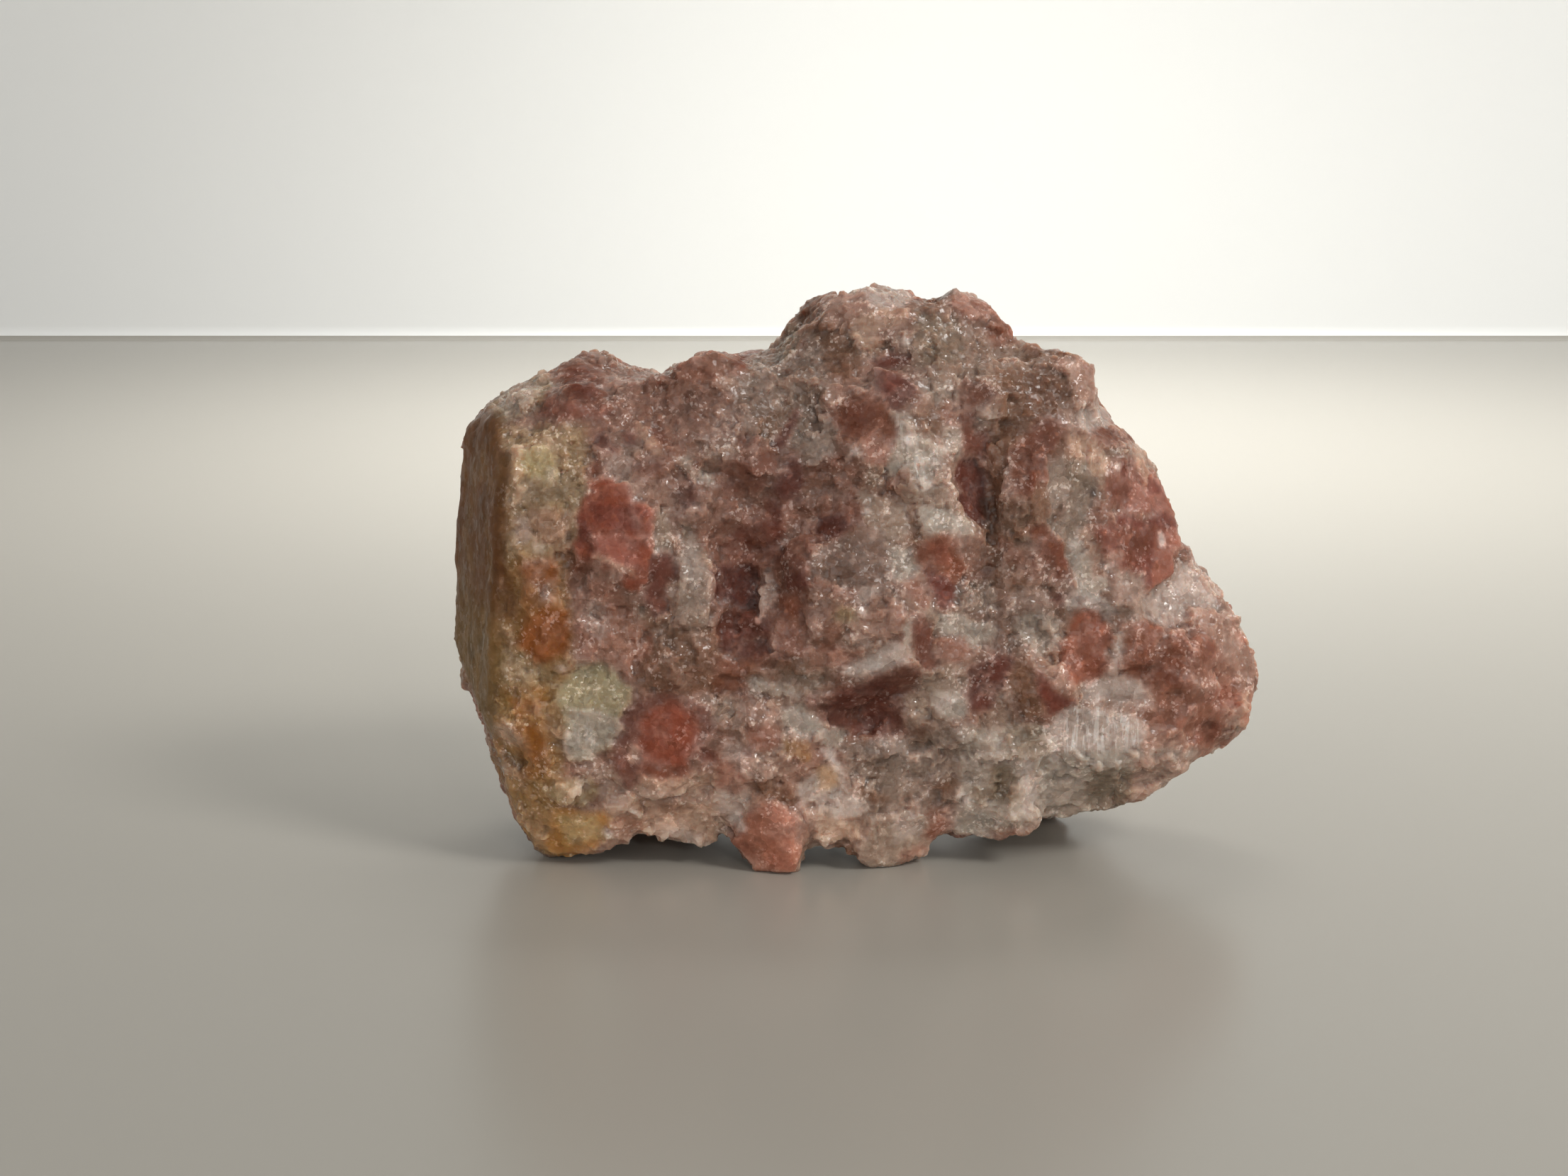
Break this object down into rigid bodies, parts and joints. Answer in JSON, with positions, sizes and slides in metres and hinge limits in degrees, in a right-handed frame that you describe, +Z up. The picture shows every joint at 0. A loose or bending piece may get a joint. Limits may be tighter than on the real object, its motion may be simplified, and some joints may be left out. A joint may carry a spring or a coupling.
{
  "type": "rough sunstone",
  "caption": "Rough sunstone: a broken lump of coarse feldspar in grey, white, salmon and red grains, with a flat weathered left end, standing on low feet.",
  "frame": {"origin": "middle of the underside of the bounding box, on the table", "axes": "+X along the stone from its flat weathered end to its tapered end, +Y from the broken front to the back, +Z up"},
  "size_m": [0.0574, 0.0244, 0.04],
  "materials": {
    "feldspar": "glassy on fresh cleavage faces, dull on the weathered end"
  },
  "bodies": {
    "root": {"sunstone": "feldspar"}
  },
  "joints": []
}
